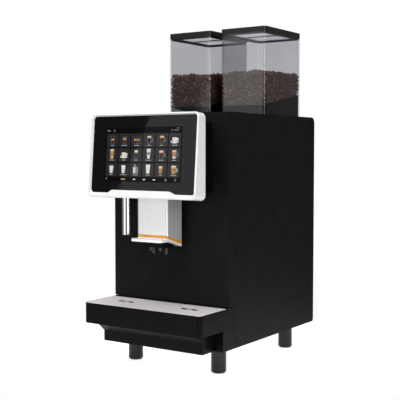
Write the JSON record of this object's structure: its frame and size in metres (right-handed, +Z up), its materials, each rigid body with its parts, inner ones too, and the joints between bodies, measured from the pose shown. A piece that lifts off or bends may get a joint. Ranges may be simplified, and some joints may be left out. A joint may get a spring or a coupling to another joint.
{
  "type": "coffee vending machine",
  "caption": "Countertop bean-to-cup coffee machine with a tilted touch display, height-adjustable outlet, drip tray and clear bean hoppers.",
  "frame": {"origin": "on the surface under the machine, in the middle of its overall width and depth", "axes": "+Z up, -Y towards the customer (the door and display face -Y), +X to the machine's left as it faces out, which is the right of someone facing it"},
  "size_m": [0.34, 0.5531, 0.8394],
  "materials": {
    "powder_black": "fine-textured matte black powder coat",
    "satin_black": "satin black moulded plastic",
    "foot_black": "glossy black plastic",
    "rubber": "soft black rubber",
    "white_gloss": "glossy white moulding",
    "screen_glass": "black printed touch glass",
    "electronics": "green circuit board",
    "bright_steel": "bright satin steel",
    "polished_steel": "polished stainless tube",
    "sheet_steel": "galvanised sheet steel",
    "amber": "translucent amber acrylic",
    "grid_steel": "brushed perforated stainless steel",
    "smoked_clear": "smoked clear copolyester",
    "roasted_beans": "roasted coffee beans",
    "dark_metal": "dark cast housing",
    "burr_steel": "hardened burr steel",
    "brass": "machined brass",
    "grey_plastic": "grey engineering plastic"
  },
  "bodies": {
    "cabinet": {"base_pan": "sheet_steel", "left_side_panel": "powder_black", "right_side_panel": "powder_black", "grip_covers": "powder_black", "top_cover": "powder_black", "rear_cover": "powder_black", "lower_fascia": "powder_black", "front_frame": "sheet_steel", "bulkhead": "sheet_steel", "grinder_deck": "sheet_steel", "feet": "foot_black", "foot_pads": "rubber", "tray_support": "satin_black", "hinge_lower": "sheet_steel", "hinge_upper": "sheet_steel", "grinder_left": "dark_metal", "grinder_right": "dark_metal", "coffee_chutes": "grey_plastic", "brew_unit": "grey_plastic", "grounds_container": "satin_black", "boiler": "sheet_steel", "pump": "brass", "power_supply": "sheet_steel", "control_board": "electronics", "fan_housing": "satin_black", "mains_inlet": "satin_black", "power_switch": "satin_black", "water_inlet": "brass", "drain_spigot": "grey_plastic"},
    "door": {"door_shell": "powder_black", "door_liner": "satin_black", "display_frame": "white_gloss", "display_glass": "screen_glass", "display_panel": "electronics", "display_housing": "satin_black", "spout_rail": "sheet_steel", "hot_water_tube": "polished_steel"},
    "outlet_head": {"spout_cover": "bright_steel", "spout_band": "amber", "spout_floor": "white_gloss", "outlet_block": "satin_black", "outlet_nozzles": "grey_plastic", "spout_carriage": "satin_black"},
    "drip_tray": {"drip_tray": "satin_black"},
    "cup_grid": {"cup_grid": "grid_steel"},
    "hopper_left": {"hopper_walls_left": "smoked_clear", "hopper_base_left": "satin_black", "beans_left": "roasted_beans"},
    "hopper_right": {"hopper_walls_right": "smoked_clear", "hopper_base_right": "satin_black", "beans_right": "roasted_beans"},
    "lid_left": {"hopper_lid_left": "satin_black", "lid_windows_left": "smoked_clear"},
    "lid_right": {"hopper_lid_right": "satin_black", "lid_windows_right": "smoked_clear"},
    "burr_left": {"burr_left": "burr_steel"},
    "burr_right": {"burr_right": "burr_steel"},
    "brew_piston": {"brew_piston": "grey_plastic"},
    "fan_rotor": {"fan_rotor": "satin_black"},
    "switch_rocker": {"switch_rocker": "satin_black"}
  },
  "joints": [
    {"name": "door_hinge", "type": "hinge", "parent": "cabinet", "child": "door", "pos_m": [-0.162, -0.1393, 0.4], "axis": [0, 0, 1], "range_deg": [-90, 0]},
    {"name": "outlet_height", "type": "slide", "parent": "door", "child": "outlet_head", "axis": [0, 0, 1], "range_m": [-0.06, 0.04]},
    {"name": "tray_pull", "type": "slide", "parent": "cabinet", "child": "drip_tray", "axis": [0, -1, 0], "range_m": [0, 0.12]},
    {"name": "grid_lift", "type": "slide", "parent": "drip_tray", "child": "cup_grid", "axis": [0, 0, 1], "range_m": [0, 0.05]},
    {"name": "hopper_left_lift", "type": "slide", "parent": "cabinet", "child": "hopper_left", "axis": [0, 0, 1], "range_m": [0, 0.1]},
    {"name": "hopper_right_lift", "type": "slide", "parent": "cabinet", "child": "hopper_right", "axis": [0, 0, 1], "range_m": [0, 0.1]},
    {"name": "lid_left_lift", "type": "slide", "parent": "hopper_left", "child": "lid_left", "axis": [0, 0, 1], "range_m": [0, 0.06]},
    {"name": "lid_right_lift", "type": "slide", "parent": "hopper_right", "child": "lid_right", "axis": [0, 0, 1], "range_m": [0, 0.06]},
    {"name": "burr_left_spin", "type": "hinge", "parent": "cabinet", "child": "burr_left", "pos_m": [-0.082, 0.0891, 0.53], "axis": [0, 0, 1], "continuous": true},
    {"name": "burr_right_spin", "type": "hinge", "parent": "cabinet", "child": "burr_right", "pos_m": [0.082, 0.0891, 0.53], "axis": [0, 0, 1], "continuous": true},
    {"name": "piston_lift", "type": "slide", "parent": "cabinet", "child": "brew_piston", "axis": [0, 0, 1], "range_m": [0, 0.04]},
    {"name": "fan_spin", "type": "hinge", "parent": "cabinet", "child": "fan_rotor", "pos_m": [0, 0.25, 0.5025], "axis": [0, 1, 0], "continuous": true},
    {"name": "switch_rock", "type": "hinge", "parent": "cabinet", "child": "switch_rocker", "pos_m": [-0.072, 0.2705, 0.1225], "axis": [1, 0, 0], "range_deg": [-9, 9]}
  ]
}
